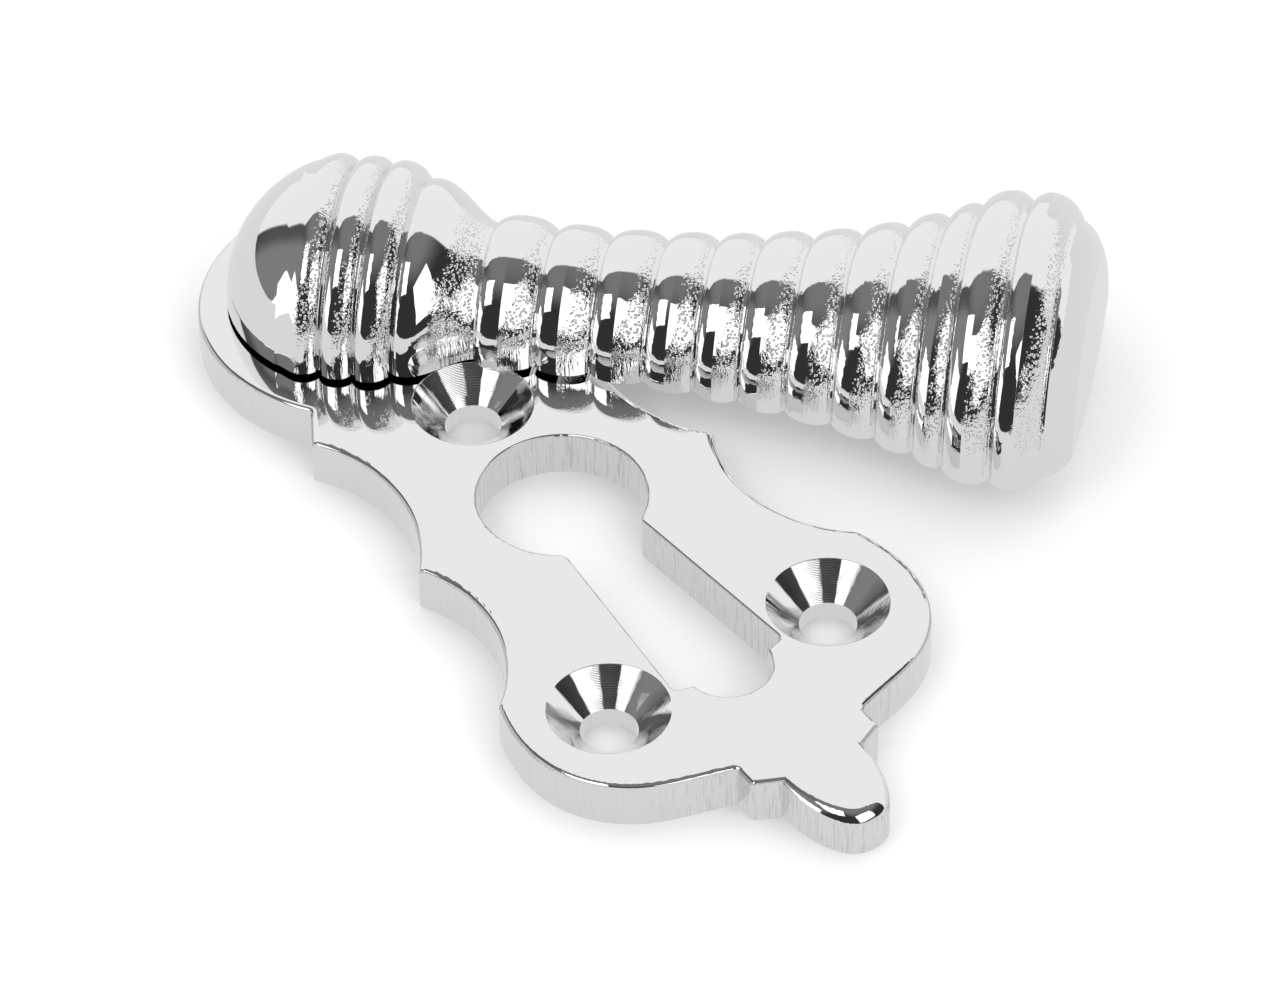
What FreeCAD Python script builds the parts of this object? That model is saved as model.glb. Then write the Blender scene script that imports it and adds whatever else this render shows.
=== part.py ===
import FreeCAD, Part
import math
import os

# A covered keyhole escutcheon, in millimetres, lying on its back.
# The origin is the centre of the keyhole's round on the plate's back face.
# +Z points out of the face and +Y up the plate, towards the cover's pivot.

# Plate
plate_thickness = 3.0
edge_round = 0.45
disc_radius = 10.7
disc_centre_y = 21.4
notch_half_width = 8.5
notch_step = (1.5, 2.5008)
upper_bay = (8.1, 5.9)
middle_cusp = (10.7, -0.6)
lower_bay = (9.4, -5.2)
lobe_start = (12.9, -12.7)
lobe_points = [(13.6, -15.7), (13.4, -18.8), (12.15, -21.35), (10.0, -23.25), (7.2, -24.35)]
neck_corner = (4.5, -25.15)
collar_crest = (4.5, -26.75)
finial_root = (2.9, -27.5)
finial_length = 5.15
finial_side = (2.55, 2.65)
finial_shoulder = (1.8, 0.95)
finial_overlap = 2.0
finial_tip_round = 1.1
corner_round = 0.3

# Keyhole
key_round_radius = 5.2
slot_top_width = 5.5
slot_foot_width = 7.7
slot_foot_y = -17.7
slot_waist = (2.65, 0.35)
slot_end_length = 2.7
slot_corner_round = 0.35
slot_neck_round = 0.7
key_rim_round = 0.2

# Screw holes
screw_hole_radius = 1.75
countersink_radius = 3.75
countersink_depth = 1.8
sink_rim_round = 0.12
top_hole_web = 0.9
lower_hole_web = 0.25
lower_hole_y = -16.8

# Swinging cover
pivot_y = 22.0
cover_gap = 0.35
seat_clearance = 0.05
seat_radius = 3.6
swing_at_rest = 45.0
ball_radius = 8.6
cap_edge = -4.0
cap_ring = [(-3.7, 7.7), (-3.1, 8.03), (-2.35, 8.27), (-1.65, 8.08)]
ball_groove_radius = 7.65
ball_ring_edges = [-1.25, 0.9, 3.25]
ball_ring_radii = [8.35, 8.25]
ball_groove_depth = 0.6
shoulder_start_radius = 7.25
shoulder = [(3.85, 7.42), (4.8, 7.18), (5.95, 6.37), (7.0, 5.5)]
neck_ring_edges = [7.9, 11.7, 15.15, 18.6, 21.75, 24.55, 27.55, 30.5, 33.3, 35.75, 37.7, 40.75, 43.85]
neck_ring_radii = [5.75, 5.6, 5.7, 5.95, 6.25, 6.7, 7.2, 7.9, 8.75, 9.6, 10.75, 10.85]
neck_groove_depth = 0.7
ring_shape = [(0.12, 0.6), (0.3, 0.93), (0.5, 1.0), (0.71, 0.88), (0.88, 0.52)]
end_groove_radius = 9.45
end_face = [(44.35, 9.15), (44.8, 8.65), (45.12, 8.1)]
end_rim = (45.4, 7.35)
cover_length = 45.6

# Pivot rivet
rivet_radius = 2.0
running_clearance = 0.05
rivet_depth_in_cover = 5.0
rivet_head_radius = 3.4
rivet_head_recess = 0.1

# Values worked out from the sizes above
slot_end_y = slot_foot_y - slot_end_length
top_hole_y = key_round_radius + top_hole_web + countersink_radius
lower_hole_x = slot_foot_width / 2 + lower_hole_web + countersink_radius
cover_back_z = plate_thickness + cover_gap
top = FreeCAD.Vector(0, 0, 1)


def vec(x, y, z=0.0):
    return FreeCAD.Vector(x, y, z)


def one_solid(shape):
    return shape.removeSplitter().Solids[0]


def line(a, b):
    return Part.LineSegment(vec(*a), vec(*b)).toShape()


def arc(a, middle, b):
    return Part.Arc(vec(*a), vec(*middle), vec(*b)).toShape()


def smooth(points):
    curve = Part.BSplineCurve()
    curve.interpolate([vec(*p) for p in points])
    return curve.toShape()


def rounded_end(points):
    curve = Part.BSplineCurve()
    first = vec(*points[1]) - vec(*points[0])
    curve.interpolate(Points=[vec(*p) for p in points], InitialTangent=first, FinalTangent=vec(-1, 0))
    return curve.toShape()


def half_outline():
    notch_drop = math.sqrt(disc_radius ** 2 - notch_half_width ** 2)
    notch = (notch_half_width, disc_centre_y - notch_drop)
    notch_cusp = (notch[0] + notch_step[0], notch[1] - notch_step[1])
    return [
        arc((0, disc_centre_y + disc_radius), (disc_radius, disc_centre_y), notch),
        line(notch, notch_cusp),
        arc(notch_cusp, upper_bay, middle_cusp),
        arc(middle_cusp, lower_bay, lobe_start),
        smooth([lobe_start] + lobe_points + [neck_corner]),
        line(neck_corner, collar_crest),
        line(collar_crest, finial_root),
        line(finial_root, (0, finial_root[1])),
    ]


def full_wire(half):
    right = Part.Wire(Part.__sortEdges__(half))
    left = right.mirror(vec(0, 0), vec(1, 0))
    return Part.Wire(Part.__sortEdges__(right.Edges + left.Edges))


def slab(wire, height):
    return Part.Face(wire).extrude(vec(0, 0, height))


def upright_edges(solid, reach):
    found = []
    for edge in solid.Edges:
        ends = [v.Point for v in edge.Vertexes]
        if len(ends) != 2:
            continue
        upright = abs(ends[0].x - ends[1].x) + abs(ends[0].y - ends[1].y) < 1e-6
        if upright and reach(ends[0].x, ends[0].y):
            found.append(edge)
    return found


def rim_edges(solid, z):
    found = []
    for edge in solid.Edges:
        ends_on_plane = all(abs(v.Z - z) < 1e-6 for v in edge.Vertexes)
        if ends_on_plane and abs(edge.BoundBox.ZMax - z) < 1e-6:
            found.append(edge)
    return found


def finial():
    start_y = finial_root[1] + finial_overlap
    start = (finial_root[0], start_y)
    tip_y = finial_root[1] - finial_length
    curved = [(half_width, tip_y + from_tip) for half_width, from_tip in (finial_side, finial_shoulder)]
    side = [start, finial_root] + curved + [(0, tip_y)]
    half = [line((0, start_y), start), rounded_end(side), line((0, tip_y), (0, start_y))]
    right = slab(Part.Wire(Part.__sortEdges__(half)), plate_thickness)
    rim = [e for e in rim_edges(right, plate_thickness) if e.Curve.TypeId == "Part::GeomBSplineCurve"]
    right = right.makeFillet(edge_round, finial_tip_round, rim)
    return right.fuse(right.mirror(vec(0, 0), vec(1, 0))).removeSplitter()


def plate_blank():
    blank = slab(full_wire(half_outline()), plate_thickness)

    def stepped(x, y):
        on_axis = abs(x) < 0.01
        at_root = abs(y - finial_root[1]) < 0.01
        return not on_axis and not at_root

    def rounded(edge):
        return edge.BoundBox.YMax > finial_root[1] + 0.01

    blank = blank.makeFillet(corner_round, upright_edges(blank, stepped))
    rim = [e for e in rim_edges(blank, plate_thickness) if rounded(e)]
    blank = blank.makeFillet(edge_round, rim)
    return blank.fuse(finial()).removeSplitter()


def dome_middle(rim, end):
    height = end - rim[0]
    radius = (rim[1] ** 2 + height ** 2) / (2 * height)
    half_angle = math.asin(rim[1] / radius) / 2
    return (end - radius * (1 - math.cos(half_angle)), radius * math.sin(half_angle))


def key_slot():
    top_half = slot_top_width / 2
    foot_half = slot_foot_width / 2
    foot = slot_foot_y
    taper = (foot_half - top_half) / (foot + key_round_radius)
    start_half = top_half + taper * key_round_radius
    waist = (slot_waist[0], foot - slot_waist[1])
    drop, reach = dome_middle((-waist[1], waist[0]), -slot_end_y)
    half = [
        line((0, 0), (start_half, 0)),
        line((start_half, 0), (foot_half, foot)),
        line((foot_half, foot), waist),
        arc(waist, (reach, -drop), (0, slot_end_y)),
    ]
    slot = slab(full_wire(half), plate_thickness)

    def corner(x, y):
        return abs(abs(x) - foot_half) < 0.01 and abs(y - foot) < 0.01

    return slot.makeFillet(slot_corner_round, upright_edges(slot, corner))


def keyhole():
    round_part = Part.makeCylinder(key_round_radius, plate_thickness)
    hole = round_part.fuse(key_slot()).removeSplitter()

    def at_neck(edge):
        ends = [v.Point for v in edge.Vertexes]
        rises = len(ends) == 2 and abs(ends[0].z - ends[1].z) > plate_thickness / 2
        return rises and all(p.y < 0 and p.Length < 2 * key_round_radius for p in ends)

    return hole.makeFillet(slot_neck_round, [e for e in hole.Edges if at_neck(e)])


def screw_hole(x, y):
    shaft = Part.makeCylinder(screw_hole_radius, plate_thickness, vec(x, y))
    sink_floor = plate_thickness - countersink_depth
    sink = Part.makeCone(screw_hole_radius, countersink_radius, countersink_depth, vec(x, y, sink_floor))
    return shaft.fuse(sink)


def rivet_seat(clearance):
    shank_radius = rivet_radius + clearance
    head_radius = rivet_head_radius + clearance
    head_height = head_radius - shank_radius
    shank = Part.makeCylinder(shank_radius, plate_thickness, vec(0, pivot_y))
    head = Part.makeCone(head_radius, shank_radius, head_height, vec(0, pivot_y, rivet_head_recess))
    return shank.fuse(head)


def on_key_rim(edge):
    box = edge.BoundBox
    reach = key_round_radius + 0.01
    inside_width = max(abs(box.XMin), abs(box.XMax)) < reach
    return inside_width and box.YMin > slot_end_y - 0.01 and box.YMax < reach


def on_sink_rim(edge):
    box = edge.BoundBox
    return all(abs(width - 2 * countersink_radius) < 0.01 for width in (box.XLength, box.YLength))


def escutcheon_plate():
    plate = plate_blank().cut(keyhole())
    key_rim = [e for e in rim_edges(plate, plate_thickness) if on_key_rim(e)]
    plate = plate.makeFillet(key_rim_round, key_rim)
    holes = [(0, top_hole_y), (lower_hole_x, lower_hole_y), (-lower_hole_x, lower_hole_y)]
    for x, y in holes:
        plate = plate.cut(screw_hole(x, y))
    plate = plate.makeFillet(sink_rim_round, [e for e in rim_edges(plate, plate_thickness) if on_sink_rim(e)])
    return one_solid(plate.cut(rivet_seat(running_clearance)))


def ring(start, end, crest_radius):
    width = end[0] - start[0]
    rise = crest_radius - (start[1] + end[1]) / 2
    points = [start]
    for share, level in ring_shape:
        base = start[1] + (end[1] - start[1]) * share
        points.append((start[0] + width * share, base + rise * level))
    return smooth(points + [end])


def ring_run(edges, radii, groove_depth, first_radius, last_radius):
    grooves = [first_radius]
    for before, after in zip(radii, radii[1:]):
        grooves.append((before + after) / 2 - groove_depth)
    grooves.append(last_radius)
    feet = list(zip(edges, grooves))
    return [ring(a, b, crest) for a, b, crest in zip(feet, feet[1:], radii)]


def cover_profile():
    cap_angle = math.acos(-cap_edge / ball_radius)
    cap_side = (-ball_radius * math.cos(cap_angle / 2), ball_radius * math.sin(cap_angle / 2))
    cap_rim = (cap_edge, ball_radius * math.sin(cap_angle))
    ball_groove = (ball_ring_edges[0], ball_groove_radius)
    shoulder_start = (ball_ring_edges[-1], shoulder_start_radius)
    neck_start = (neck_ring_edges[0], neck_ring_radii[0] - neck_groove_depth)
    end_groove = (neck_ring_edges[-1], end_groove_radius)
    ball_ends = (ball_groove_radius, shoulder_start_radius)
    neck_ends = (neck_start[1], end_groove_radius)
    profile = [arc((-ball_radius, 0), cap_side, cap_rim)]
    profile.append(smooth([cap_rim] + cap_ring + [ball_groove]))
    profile += ring_run(ball_ring_edges, ball_ring_radii, ball_groove_depth, *ball_ends)
    profile.append(smooth([shoulder_start] + shoulder + [neck_start]))
    profile += ring_run(neck_ring_edges, neck_ring_radii, neck_groove_depth, *neck_ends)
    profile.append(smooth([end_groove] + end_face + [end_rim]))
    profile.append(arc(end_rim, dome_middle(end_rim, cover_length), (cover_length, 0)))
    profile.append(line((cover_length, 0), (-ball_radius, 0)))
    return Part.Wire(Part.__sortEdges__(profile))


def placed_at_pivot(shape):
    shape.rotate(vec(0, 0), top, swing_at_rest - 90)
    shape.translate(vec(0, pivot_y, cover_back_z))
    return shape


def swing_cover():
    half_round = Part.Face(cover_profile()).revolve(vec(0, 0), vec(1, 0), 180)
    seat_height = cover_gap - seat_clearance
    seat = Part.makeCylinder(seat_radius, seat_height, vec(0, 0, -seat_height))
    bore = Part.makeCylinder(rivet_radius, rivet_depth_in_cover + seat_height, vec(0, 0, -seat_height))
    return placed_at_pivot(one_solid(half_round.fuse(seat).cut(bore)))


def pivot_rivet():
    head_height = rivet_head_radius - rivet_radius
    top_z = cover_back_z + rivet_depth_in_cover
    shank_height = top_z - rivet_head_recess
    shank = Part.makeCylinder(rivet_radius, shank_height, vec(0, pivot_y, rivet_head_recess))
    head = Part.makeCone(rivet_head_radius, rivet_radius, head_height, vec(0, pivot_y, rivet_head_recess))
    return one_solid(shank.fuse(head))


os.makedirs("parts", exist_ok=True)
pieces = {
    "escutcheon_plate": escutcheon_plate(),
    "swing_cover": swing_cover(),
    "pivot_rivet": pivot_rivet(),
}
for name, solid in pieces.items():
    solid.exportStep("parts/" + name + ".step")
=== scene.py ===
import math

import bmesh
import bpy
from bpy.props import FloatProperty, FloatVectorProperty, PointerProperty
from mathutils import Matrix, Vector


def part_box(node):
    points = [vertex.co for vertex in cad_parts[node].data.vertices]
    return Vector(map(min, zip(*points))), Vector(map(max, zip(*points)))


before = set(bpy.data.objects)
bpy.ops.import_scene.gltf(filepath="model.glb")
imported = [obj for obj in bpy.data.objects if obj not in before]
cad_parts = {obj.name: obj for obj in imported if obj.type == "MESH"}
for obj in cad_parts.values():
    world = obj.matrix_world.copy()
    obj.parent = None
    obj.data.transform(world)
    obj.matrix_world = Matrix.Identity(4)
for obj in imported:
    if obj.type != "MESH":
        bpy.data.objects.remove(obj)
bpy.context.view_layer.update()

bl_info = {
    "name": "Covered Keyhole Escutcheon",
    "version": (1, 0, 0),
    "blender": (4, 5, 0),
    "location": "3D View > Sidebar > Escutcheon",
    "description": "Dresses the packed escutcheon in polished and cast chrome and lights it on a white table",
    "category": "Object",
}

MM = 0.001
MICRON = 0.000001
PLATE_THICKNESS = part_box("escutcheon_plate")[1][2]

# The height of the cover's underside, its pivot and its turn at rest, in millimetres.
COVER_UNDERSIDE = 3.35
PIVOT = Vector((0.0, 22.0, COVER_UNDERSIDE)) * MM
COVER_TURN = math.radians(-45.0)

# Where the grooves between the cover's rings lie, along the cover from its pivot in millimetres,
# and the share of a ring's width after which the saw falls back to the next groove.
BALL_GROOVES = (-4.0, -1.25, 0.9, 3.25, 7.9)
NECK_GROOVES = (
    7.9, 11.7, 15.15, 18.6, 21.75, 24.55, 27.55, 30.5, 33.3, 35.75, 37.7, 40.75, 43.85)
SAW_PEAK = 0.93

# Screw holes, their countersinks and the pitch of the turned lines in them, in millimetres.
SCREW_HOLES = ((0.0, 9.85), (7.85, -16.8), (-7.85, -16.8))
COUNTERSINK_RADIUS = 3.75
TURNED_PITCH = 0.075

# The box that holds the keyhole's walls and no other wall, in millimetres.
KEYHOLE_HALF_WIDTH = 5.4
KEYHOLE_HEAD_Y = 5.4
KEYHOLE_FOOT_Y = -20.8

# The heights on the plate at which the worked walls of its foot begin and its finial begins.
COLLAR_Y = -24.2
FINIAL_Y = -28.5

# The neck's rings: the share of a ring's width about which its polished crest is flattened, the
# share at which the crest turns, and in millimetres how much it is flattened and how far it drops
# from there on.
CREST_MIDDLE = 0.718
CREST_TURN = 0.47
CREST_FLAT = 0.857
CREST_DROP = 0.45

# Where the cover's end begins and has come round, along the cover in millimetres, and how far it
# drops.
END_START = NECK_GROOVES[-1]
END_ROUND = 46.4
END_DROP = 0.6

# Around the cover's axis its ends are shaded flat, out to this radius in millimetres.
TIP_RADIUS = 2.5

# The white sheet fills the directions on the inner side of these three planes.
SHEET_EDGES = ((0.65, 0.70, -0.28), (0.451, 0.872, -0.189), (0.926, 0.305, 0.223))

# The direction in which the dark room is lightest, and how far off the lamps hang, in metres.
ROOM_TOP = (0.17, 0.1, 0.98)
WINDOW_DISTANCE = 0.6


class EscutcheonFinish(bpy.types.PropertyGroup):
    chrome_colour: FloatVectorProperty(
        name="Chrome colour", description="Colour of the plating", subtype="COLOR",
        size=3, min=0.0, max=1.0, default=(0.815, 0.82, 0.822))
    polish: FloatProperty(
        name="Polish", description="Roughness of the mirror-polished faces",
        subtype="FACTOR", min=0.0, max=1.0, default=0.035)
    wall_roughness: FloatProperty(
        name="Wall roughness", description="Roughness of the worked side walls",
        subtype="FACTOR", min=0.0, max=1.0, default=0.2)
    grain_size: FloatProperty(
        name="Grain size", description="Size of the cast grain on the rings' flanks",
        subtype="DISTANCE", unit="LENGTH", min=0.00005, max=0.002, default=0.00018)
    grain_height: FloatProperty(
        name="Grain height", description="Height of the cast grain",
        subtype="DISTANCE", unit="LENGTH", min=0.0, max=0.0005, default=0.000032)


class EscutcheonStage(bpy.types.PropertyGroup):
    table_size: FloatProperty(
        name="Table size", description="Width of the white table",
        subtype="DISTANCE", unit="LENGTH", min=0.5, max=20.0, default=6.0)
    lens: FloatProperty(
        name="Lens", description="Focal length of the camera in millimetres",
        min=20.0, max=500.0, default=225.3)
    dome_level: FloatProperty(
        name="Dome level", description="Brightness of the white sheet behind and above",
        min=0.0, max=3.0, default=0.98)
    soft_level: FloatProperty(
        name="Soft level", description="Strength of the sheet's soft light on the table",
        min=0.0, max=5.0, default=0.5)
    fill_level: FloatProperty(
        name="Fill level", description="Strength of the even light from all sides on the table",
        min=0.0, max=5.0, default=0.88)


class Nodes:
    """Short hand for putting nodes in a tree and joining them."""

    def __init__(self, tree):
        self.tree = tree
        tree.nodes.clear()

    def add(self, kind, **settings):
        node = self.tree.nodes.new(kind)
        for key, value in settings.items():
            setattr(node, key, value)
        return node

    def feed(self, socket, value):
        if isinstance(value, bpy.types.NodeSocket):
            self.tree.links.new(value, socket)
        else:
            socket.default_value = value

    def maths(self, operation, *values):
        node = self.add("ShaderNodeMath", operation=operation)
        for socket, value in zip(node.inputs, values):
            self.feed(socket, value)
        return node.outputs[0]

    def vector(self, operation, *values):
        node = self.add("ShaderNodeVectorMath", operation=operation)
        for socket, value in zip(node.inputs, values):
            self.feed(socket, value)
        wanted = "Value" if operation in ("DOT_PRODUCT", "LENGTH", "DISTANCE") else "Vector"
        return node.outputs[wanted]

    def split(self, vector):
        node = self.add("ShaderNodeSeparateXYZ")
        self.feed(node.inputs[0], vector)
        return node.outputs

    def ramp(self, value, low, high, to_low=0.0, to_high=1.0, smooth=True):
        kind = "SMOOTHSTEP" if smooth else "LINEAR"
        node = self.add("ShaderNodeMapRange", interpolation_type=kind)
        for socket, given in zip(node.inputs, (value, low, high, to_low, to_high)):
            self.feed(socket, given)
        return node.outputs[0]

    def noise(self, where, scale, detail=2.0, roughness=0.5):
        node = self.add("ShaderNodeTexNoise")
        self.feed(node.inputs["Vector"], where)
        node.inputs["Scale"].default_value = scale
        node.inputs["Detail"].default_value = detail
        node.inputs["Roughness"].default_value = roughness
        return node.outputs["Fac"]

    def mapped(self, where, location=(0, 0, 0), rotation=(0, 0, 0), scale=(1, 1, 1)):
        node = self.add("ShaderNodeMapping")
        self.feed(node.inputs["Vector"], where)
        node.inputs["Location"].default_value = location
        node.inputs["Rotation"].default_value = rotation
        node.inputs["Scale"].default_value = scale
        return node.outputs[0]

    def mix(self, share, first, second):
        node = self.add("ShaderNodeMix", data_type="FLOAT")
        self.feed(node.inputs[0], share)
        self.feed(node.inputs[2], first)
        self.feed(node.inputs[3], second)
        return node.outputs[0]

    def tint(self, share, first, second):
        node = self.add("ShaderNodeMix", data_type="RGBA")
        self.feed(node.inputs[0], share)
        self.feed(node.inputs[6], (*first, 1.0))
        self.feed(node.inputs[7], (*second, 1.0))
        return node.outputs[2]

    def saw(self, length, grooves):
        """Climbs from 0 at each groove to 1 just before the next one."""
        first, last = grooves[0] * MM, grooves[-1] * MM
        node = self.add("ShaderNodeValToRGB")
        self.feed(node.inputs[0], self.ramp(length, first, last, smooth=False))
        stops = node.color_ramp.elements
        stops[0].color = stops[1].color = (0.0, 0.0, 0.0, 1.0)
        for start, end in zip(grooves, grooves[1:]):
            peak = stops.new(((start + (end - start) * SAW_PEAK) * MM - first) / (last - first))
            peak.color = (1.0, 1.0, 1.0, 1.0)
            if end != grooves[-1]:
                foot = stops.new((end * MM - first) / (last - first))
                foot.color = (0.0, 0.0, 0.0, 1.0)
        return node.outputs["Color"]

    def bump(self, height, distance, normal=None):
        node = self.add("ShaderNodeBump")
        node.inputs["Strength"].default_value = 1.0
        node.inputs["Distance"].default_value = distance
        self.feed(node.inputs["Height"], height)
        if normal is not None:
            self.feed(node.inputs["Normal"], normal)
        return node.outputs[0]

    def chrome(self, colour, roughness, normal):
        shader = self.add("ShaderNodeBsdfPrincipled")
        self.feed(shader.inputs["Base Color"], colour)
        shader.inputs["Metallic"].default_value = 1.0
        self.feed(shader.inputs["Roughness"], roughness)
        self.feed(shader.inputs["Normal"], normal)
        output = self.add("ShaderNodeOutputMaterial")
        self.feed(output.inputs["Surface"], shader.outputs[0])


def new_material(name):
    material = bpy.data.materials.new(name)
    material.use_nodes = True
    return material, Nodes(material.node_tree)


def plate_chrome(finish):
    material, n = new_material("plate_chrome")
    place = n.add("ShaderNodeTexCoord")
    where = place.outputs["Object"]
    facing = n.split(place.outputs["Normal"])
    upward = facing["Z"]
    spot = n.split(where)
    nearest = None
    for x, y in SCREW_HOLES:
        flat = n.vector("MULTIPLY", where, (1.0, 1.0, 0.0))
        away = n.vector("DISTANCE", flat, (x * MM, y * MM, 0.0))
        nearest = away if nearest is None else n.maths("MINIMUM", nearest, away)
    in_sink = n.ramp(nearest, (COUNTERSINK_RADIUS + 0.05) * MM, COUNTERSINK_RADIUS * MM)
    on_finial = n.ramp(spot["Y"], (FINIAL_Y + 1.0) * MM, (FINIAL_Y - 1.0) * MM)
    steep = n.ramp(upward, n.mix(on_finial, 0.74, 0.45), n.mix(on_finial, 0.66, 0.35))
    wall = n.mix(in_sink, steep, n.ramp(upward, 0.35, 0.2))
    level_rim = n.add("ShaderNodeCombineXYZ")
    n.feed(level_rim.inputs["X"], facing["X"])
    n.feed(level_rim.inputs["Y"], facing["Y"])
    n.feed(level_rim.inputs["Z"], n.maths("MULTIPLY", upward, n.maths("SUBTRACT", 1.0, wall)))
    squared = n.vector("NORMALIZE", level_rim.outputs[0])

    aside = n.maths("ABSOLUTE", spot["X"])
    in_keyhole = n.ramp(aside, (KEYHOLE_HALF_WIDTH + 0.1) * MM, KEYHOLE_HALF_WIDTH * MM)
    ends = ((KEYHOLE_HEAD_Y, KEYHOLE_HEAD_Y + 0.1), (KEYHOLE_FOOT_Y, KEYHOLE_FOOT_Y - 0.1))
    for near, far in ends:
        in_keyhole = n.maths("MULTIPLY", in_keyhole, n.ramp(spot["Y"], far * MM, near * MM))
    at_collar = n.ramp(spot["Y"], (COLLAR_Y + 0.8) * MM, (COLLAR_Y - 0.8) * MM, 0.12, 0.7)
    worked = n.maths("MULTIPLY", wall, n.maths("MAXIMUM", in_keyhole, at_collar))
    streaks = n.noise(n.mapped(where, scale=(1.0, 1.0, 0.05)), 8000.0, 3.0, 0.6)
    wall_height = n.maths("MULTIPLY", streaks, worked)
    marks = n.maths("MULTIPLY", n.ramp(streaks, 0.46, 0.68), worked)
    dents = n.add("ShaderNodeTexVoronoi", feature="F1")
    n.feed(dents.inputs["Vector"], where)
    dents.inputs["Scale"].default_value = 2600.0
    near_foot = n.ramp(spot["Z"], 0.7 * MM, 0.1 * MM)
    wear = n.maths("ADD", n.noise(where, 900.0, 3.0), n.maths("MULTIPLY", near_foot, 0.12))
    ragged = n.maths("MULTIPLY", n.ramp(wear, 0.58, 0.66), wall)
    dent = n.maths("MULTIPLY", n.ramp(dents.outputs["Distance"], 0.4, 0.1), ragged)

    below_face = n.ramp(spot["Z"], PLATE_THICKNESS - 10 * MICRON, PLATE_THICKNESS - 40 * MICRON)
    sink = n.maths("MULTIPLY", n.maths("MULTIPLY", in_sink, below_face), n.ramp(upward, 0.2, 0.4))
    jitter = n.maths("MULTIPLY", n.noise(where, 1500.0), 80 * MICRON)
    from_hole = n.maths("ADD", nearest, jitter)
    turned = n.maths("SINE", n.maths("MULTIPLY", from_hole, 2 * math.pi / (TURNED_PITCH * MM)))
    patchy = n.ramp(n.noise(where, 700.0, 2.0), 0.4, 0.7, 0.25, 1.6)
    turned_height = n.maths("MULTIPLY", n.maths("MULTIPLY", turned, sink), patchy)

    pits = n.add("ShaderNodeTexVoronoi", feature="F1")
    n.feed(pits.inputs["Vector"], where)
    pits.inputs["Scale"].default_value = 420.0
    sparse = n.ramp(n.noise(where, 310.0, 0.0), 0.66, 0.72)
    pit = n.maths("MULTIPLY", n.ramp(pits.outputs["Distance"], 0.05, 0.02), sparse)

    ripple = n.noise(where, 260.0, 1.0)
    normal = n.bump(ripple, 1.2 * MICRON, normal=squared)
    normal = n.bump(pit, -20 * MICRON, normal=normal)
    normal = n.bump(dent, -20 * MICRON, normal=normal)
    normal = n.bump(wall_height, 11 * MICRON, normal=normal)
    normal = n.bump(turned_height, 1.2 * MICRON, normal=normal)
    smear = n.mix(n.noise(where, 700.0, 3.0), finish.polish * 0.7, finish.polish * 1.4)
    rough = n.mix(wall, smear, n.mix(worked, 0.1, finish.wall_roughness))
    rough = n.mix(sink, rough, 0.05)
    # The colour darkens with the worked walls' streaky tool marks. It also darkens over all the keyhole's
    # walls as painted shade, for the shaded slot floor that they reflect.
    keyhole_painted_shade = n.maths("MULTIPLY", in_keyhole, n.maths("MULTIPLY", wall, 0.3))
    marks_and_painted_shade = n.maths("MAXIMUM", marks, keyhole_painted_shade)
    colour = n.tint(marks_and_painted_shade, finish.chrome_colour, [0.7 * part for part in finish.chrome_colour])
    n.chrome(colour, rough, normal)
    return material


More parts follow.
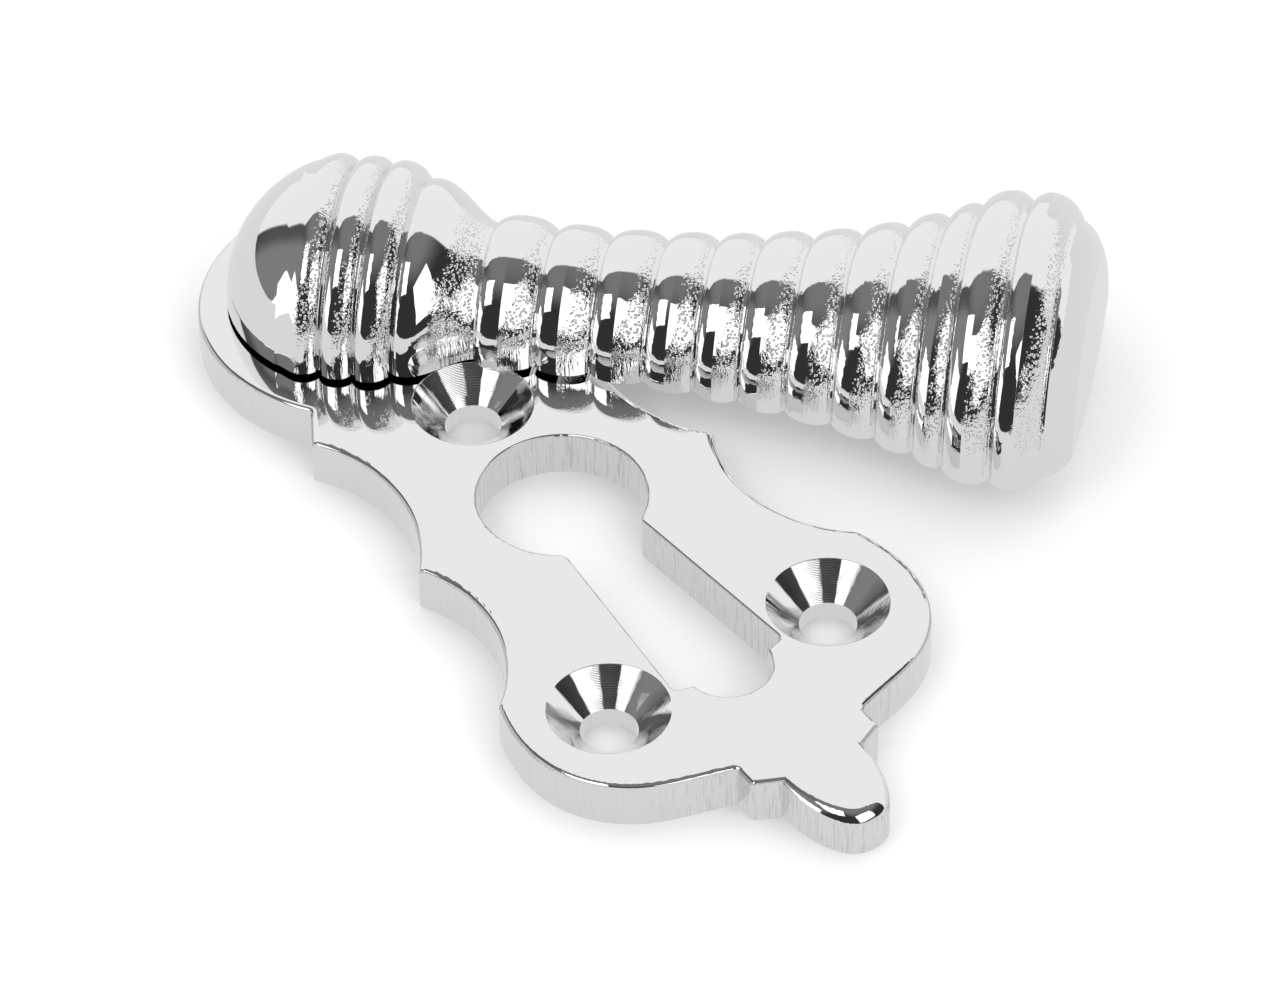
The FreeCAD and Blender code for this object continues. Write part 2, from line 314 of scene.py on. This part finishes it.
def cover_chrome(finish):
    material, n = new_material("cover_chrome")
    place = n.add("ShaderNodeTexCoord")
    where = place.outputs["Object"]
    upward = n.split(place.outputs["Normal"])["Z"]
    turn = Matrix.Rotation(-COVER_TURN, 3, "Z")
    along = n.mapped(where, location=-(turn @ PIVOT), rotation=(0.0, 0.0, -COVER_TURN))
    length = n.split(along)["X"]
    from_axis = n.vector("LENGTH", n.vector("MULTIPLY", along, (0.0, 1.0, 1.0)))
    at_tip = n.ramp(from_axis, (TIP_RADIUS + 0.2) * MM, TIP_RADIUS * MM)
    on_neck = n.saw(length, NECK_GROOVES)
    saw = n.maths("MAXIMUM", n.saw(length, BALL_GROOVES), on_neck)
    ragged = n.maths("SUBTRACT", n.noise(where, 2600.0, 3.0, 0.65), 0.5)
    drift = n.maths("SUBTRACT", n.noise(where, 420.0, 1.0), 0.5)
    stray = n.maths("ADD", n.maths("MULTIPLY", ragged, 0.3), n.maths("MULTIPLY", drift, 0.3))
    onset = n.maths("ADD", saw, stray)
    onset = n.maths("ADD", onset, n.ramp(upward, 0.4, 0.95, 0.16, -0.04))
    grain_here = n.ramp(onset, 0.6, 0.8)
    low = n.ramp(n.split(where)["Z"], (COVER_UNDERSIDE + 3.6) * MM, (COVER_UNDERSIDE + 1.2) * MM)
    cells = n.add("ShaderNodeTexVoronoi", feature="F1")
    n.feed(cells.inputs["Vector"], where)
    cells.inputs["Scale"].default_value = 1.0 / finish.grain_size
    grains = n.ramp(cells.outputs["Distance"], 0.5, 0.1)
    pick = n.add("ShaderNodeSeparateColor")
    n.feed(pick.inputs[0], cells.outputs["Color"])
    present = n.ramp(n.maths("ADD", pick.outputs[0], grain_here), 0.95, 1.05)
    lumps = n.noise(where, 0.45 / finish.grain_size, 2.0, 0.6)
    grain = n.maths("ADD", n.maths("MULTIPLY", grains, present), n.maths("MULTIPLY", lumps, 0.8))
    streaks = n.noise(n.mapped(where, scale=(1.0, 1.0, 0.06)), 0.9 / finish.grain_size, 2.0, 0.6)
    grain = n.mix(low, grain, n.maths("MULTIPLY", streaks, 1.2))
    less_on_top = n.ramp(upward, 0.98, 0.8, 0.4, 1.0)
    grain_height = n.maths("MULTIPLY", grain, n.maths("MULTIPLY", grain_here, less_on_top))
    ripple = n.noise(where, 330.0, 1.0)
    crest = n.maths("SUBTRACT", n.maths("MINIMUM", on_neck, CREST_TURN), CREST_MIDDLE)
    flank = n.ramp(on_neck, 1.0, CREST_TURN, smooth=False)
    end = n.ramp(length, END_ROUND * MM, END_START * MM, smooth=False)
    shape = 0.0
    for share, height in ((crest, CREST_FLAT), (flank, CREST_DROP), (end, END_DROP)):
        shape = n.maths("MULTIPLY_ADD", n.maths("MULTIPLY", share, share), height * MM, shape)
    normal = n.bump(shape, 1.0)
    normal = n.bump(ripple, 6 * MICRON, normal=normal)
    normal = n.bump(grain_height, finish.grain_height, normal=normal)
    flat = n.add("ShaderNodeNewGeometry").outputs["True Normal"]
    normal = n.vector("MULTIPLY_ADD", n.vector("SUBTRACT", flat, normal), at_tip, normal)
    smooth = n.mix(n.noise(where, 800.0, 3.0), finish.polish * 0.7, finish.polish * 1.5)
    rough = n.mix(grain_here, smooth, 0.06)
    n.chrome((*finish.chrome_colour, 1.0), rough, normal)
    return material


def rivet_chrome(finish):
    material, n = new_material("rivet_chrome")
    where = n.add("ShaderNodeTexCoord").outputs["Object"]
    rough = n.mix(n.noise(where, 1400.0, 3.0), 0.18, 0.3)
    normal = n.bump(n.noise(where, 2400.0, 3.0), 10 * MICRON)
    n.chrome((*finish.chrome_colour, 1.0), rough, normal)
    return material


def give(node_name, material):
    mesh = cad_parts[node_name].data
    mesh.materials.clear()
    mesh.materials.append(material)


class ESCUTCHEON_OT_plate(bpy.types.Operator):
    """Gives the plate its polished face, worked walls and turned countersinks"""

    bl_idname = "escutcheon.plate"
    bl_label = "Plate"

    def execute(self, context):
        give("escutcheon_plate", plate_chrome(context.scene.escutcheon_finish))
        return {"FINISHED"}


class ESCUTCHEON_OT_cover(bpy.types.Operator):
    """Gives the swinging cover its polished rings and cast grain"""

    bl_idname = "escutcheon.cover"
    bl_label = "Swinging cover"

    def execute(self, context):
        give("swing_cover", cover_chrome(context.scene.escutcheon_finish))
        return {"FINISHED"}


class ESCUTCHEON_OT_rivet(bpy.types.Operator):
    """Gives the pivot rivet its plain plating"""

    bl_idname = "escutcheon.rivet"
    bl_label = "Pivot rivet"

    def execute(self, context):
        give("pivot_rivet", rivet_chrome(context.scene.escutcheon_finish))
        return {"FINISHED"}


def direction(from_zenith, bearing):
    tilt = math.radians(from_zenith)
    turn = math.radians(bearing)
    return Vector((math.sin(tilt) * math.cos(turn), math.sin(tilt) * math.sin(turn), math.cos(tilt)))


def studio_world(stage):
    world = bpy.data.worlds.new("studio")
    world.use_nodes = True
    n = Nodes(world.node_tree)
    seen = n.add("ShaderNodeTexCoord").outputs["Generated"]
    ray = n.add("ShaderNodeLightPath")
    sheet = None
    for edge in SHEET_EDGES:
        inside = n.ramp(n.vector("DOT_PRODUCT", seen, edge), -0.02, 0.02)
        sheet = inside if sheet is None else n.maths("MULTIPLY", sheet, inside)
    room = n.ramp(n.vector("DOT_PRODUCT", seen, ROOM_TOP), 0.55, 0.95, 0.035, 0.21)
    corner = n.ramp(n.vector("DOT_PRODUCT", seen, direction(62.0, 136.0)), 0.6, 0.92, 0.0, 0.24)
    beside = n.ramp(n.vector("DOT_PRODUCT", seen, SHEET_EDGES[2]), -0.1, -0.3, 0.4, 1.0)
    room = n.maths("MAXIMUM", room, n.maths("MULTIPLY", corner, beside))
    level = n.mix(sheet, room, stage.dome_level)
    soft = n.maths("MULTIPLY_ADD", sheet, stage.soft_level, stage.fill_level)
    level = n.mix(ray.outputs["Is Glossy Ray"], soft, level)
    level = n.mix(ray.outputs["Is Camera Ray"], level, 1.0)
    shade = n.add("ShaderNodeBackground")
    shade.inputs["Color"].default_value = (1.0, 1.0, 1.0, 1.0)
    n.feed(shade.inputs["Strength"], level)
    output = n.add("ShaderNodeOutputWorld")
    n.feed(output.inputs["Surface"], shade.outputs[0])
    bpy.context.scene.world = world


def window(name, toward, width, height, roll, level):
    lamp = bpy.data.lights.new(name, "AREA")
    lamp.shape = "RECTANGLE"
    lamp.size = width
    lamp.size_y = height
    lamp.energy = level * math.pi * width * height
    holder = bpy.data.objects.new(name, lamp)
    turn = toward.to_track_quat("Z", "Y") @ Matrix.Rotation(roll, 3, "Z").to_quaternion()
    holder.matrix_world = Matrix.Translation(toward * WINDOW_DISTANCE) @ turn.to_matrix().to_4x4()
    bpy.context.scene.collection.objects.link(holder)


def table(stage):
    mesh = bpy.data.meshes.new("table")
    shape = bmesh.new()
    bmesh.ops.create_grid(shape, x_segments=1, y_segments=1, size=stage.table_size / 2)
    bmesh.ops.translate(shape, verts=shape.verts, vec=(0.0, 0.0, -20 * MICRON))
    shape.to_mesh(mesh)
    shape.free()
    top = bpy.data.objects.new("table", mesh)
    bpy.context.scene.collection.objects.link(top)
    material, n = new_material("table_white")
    paper = n.add("ShaderNodeBsdfDiffuse")
    ray = n.add("ShaderNodeLightPath")
    n.feed(paper.inputs["Color"], n.mix(ray.outputs["Is Glossy Ray"], 0.9, 0.12))
    glow = n.add("ShaderNodeEmission")
    n.feed(glow.inputs["Strength"], n.mix(ray.outputs["Is Camera Ray"], 0.67, 0.02))
    seen = n.maths("MAXIMUM", ray.outputs["Is Camera Ray"], ray.outputs["Is Glossy Ray"])
    both = n.add("ShaderNodeAddShader")
    n.feed(both.inputs[0], paper.outputs[0])
    n.feed(both.inputs[1], glow.outputs[0])
    choose = n.add("ShaderNodeMixShader")
    n.feed(choose.inputs[0], seen)
    n.feed(choose.inputs[1], paper.outputs[0])
    n.feed(choose.inputs[2], both.outputs[0])
    output = n.add("ShaderNodeOutputMaterial")
    n.feed(output.inputs["Surface"], choose.outputs[0])
    mesh.materials.append(material)


def camera(stage):
    lens = bpy.data.cameras.new("camera")
    lens.sensor_fit = "HORIZONTAL"
    lens.sensor_width = 36.0
    lens.lens = stage.lens
    lens.clip_start = 0.01
    lens.clip_end = 50.0
    holder = bpy.data.objects.new("camera", lens)
    bearing = math.radians(-33.143)
    rise = math.radians(43.490)
    roll = math.radians(-1.217)
    outward = math.cos(rise)
    back = Vector((math.sin(bearing) * outward, -math.cos(bearing) * outward, math.sin(rise)))
    right = Vector((math.cos(bearing), math.sin(bearing), 0.0))
    up = back.cross(right)
    sine, cosine = math.sin(roll), math.cos(roll)
    right, up = right * cosine + up * sine, up * cosine - right * sine
    aim = Vector((4.97, -0.24, 0.0)) * MM
    distance = 481.8
    place = aim + back * distance * MM
    holder.matrix_world = Matrix.Translation(place) @ Matrix((right, up, back)).transposed().to_4x4()
    bpy.context.scene.collection.objects.link(holder)
    bpy.context.scene.camera = holder


class ESCUTCHEON_OT_stage(bpy.types.Operator):
    """Sets the white table, the studio light and the camera"""

    bl_idname = "escutcheon.stage"
    bl_label = "Stage"

    def execute(self, context):
        stage = context.scene.escutcheon_stage
        table(stage)
        studio_world(stage)
        window("left_window", direction(36.0, 188.0), 0.25, 0.33, math.radians(32.0), 1.5)
        window("right_window", direction(59.0, 281.0), 0.42, 0.46, 0.0, 1.5)
        window("far_left_window", direction(77.0, 168.0), 0.32, 0.28, 0.0, 1.3)
        camera(stage)
        context.scene.view_settings.view_transform = "Standard"
        return {"FINISHED"}


class ESCUTCHEON_PT_panel(bpy.types.Panel):
    """Lists the sizes, colours and steps of the escutcheon"""

    bl_label = "Escutcheon"
    bl_idname = "ESCUTCHEON_PT_panel"
    bl_space_type = "VIEW_3D"
    bl_region_type = "UI"
    bl_category = "Escutcheon"

    def draw(self, context):
        column = self.layout.column()
        finish = context.scene.escutcheon_finish
        for name in ("chrome_colour", "polish", "wall_roughness", "grain_size", "grain_height"):
            column.prop(finish, name)
        stage = context.scene.escutcheon_stage
        for name in ("table_size", "lens", "dome_level", "soft_level", "fill_level"):
            column.prop(stage, name)
        for step in STEPS:
            column.operator(step.bl_idname)


STEPS = (ESCUTCHEON_OT_plate, ESCUTCHEON_OT_cover, ESCUTCHEON_OT_rivet, ESCUTCHEON_OT_stage)
CLASSES = (EscutcheonFinish, EscutcheonStage) + STEPS + (ESCUTCHEON_PT_panel,)


def register():
    for item in CLASSES:
        bpy.utils.register_class(item)
    bpy.types.Scene.escutcheon_finish = PointerProperty(type=EscutcheonFinish)
    bpy.types.Scene.escutcheon_stage = PointerProperty(type=EscutcheonStage)


def unregister():
    del bpy.types.Scene.escutcheon_stage
    del bpy.types.Scene.escutcheon_finish
    for item in reversed(CLASSES):
        bpy.utils.unregister_class(item)


def main():
    register()
    bpy.ops.escutcheon.plate()
    bpy.ops.escutcheon.cover()
    bpy.ops.escutcheon.rivet()
    bpy.ops.escutcheon.stage()


if __name__ == "__main__":
    main()
